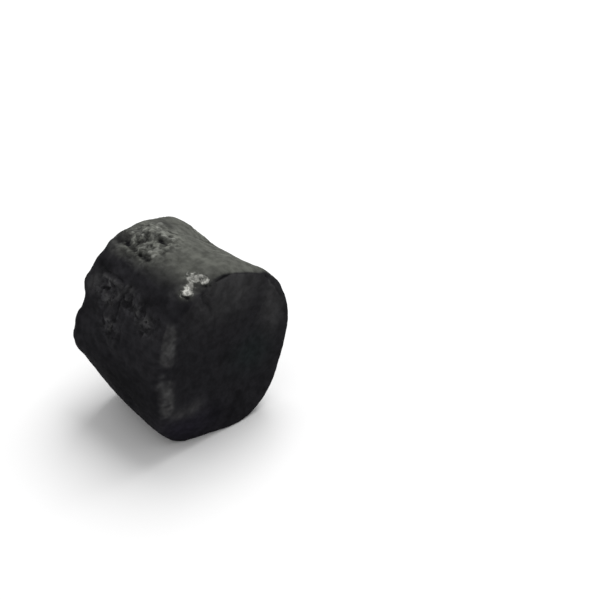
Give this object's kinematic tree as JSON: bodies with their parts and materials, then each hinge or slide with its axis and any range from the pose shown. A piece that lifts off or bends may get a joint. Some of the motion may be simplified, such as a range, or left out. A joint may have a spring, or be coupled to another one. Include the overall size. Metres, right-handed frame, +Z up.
{
  "type": "lump of hardwood charcoal",
  "caption": "Short length of branch charred whole: a barrel-shaped lump with a sawn end, a broken end, a knot scar, chunky bark and drying cracks, burnt as fuel in a grill or a forge.",
  "frame": {"origin": "middle of the lump's footprint box, on the surface that it rests on", "axes": "+X along the grain towards the sawn end, +Z up from the flat spot that the lump rests on"},
  "size_m": [0.0588, 0.069, 0.0797],
  "materials": {
    "charcoal": "matt black char with a pale bloom of ash on top"
  },
  "bodies": {
    "root": {"charcoal_lump": "charcoal"}
  },
  "joints": []
}
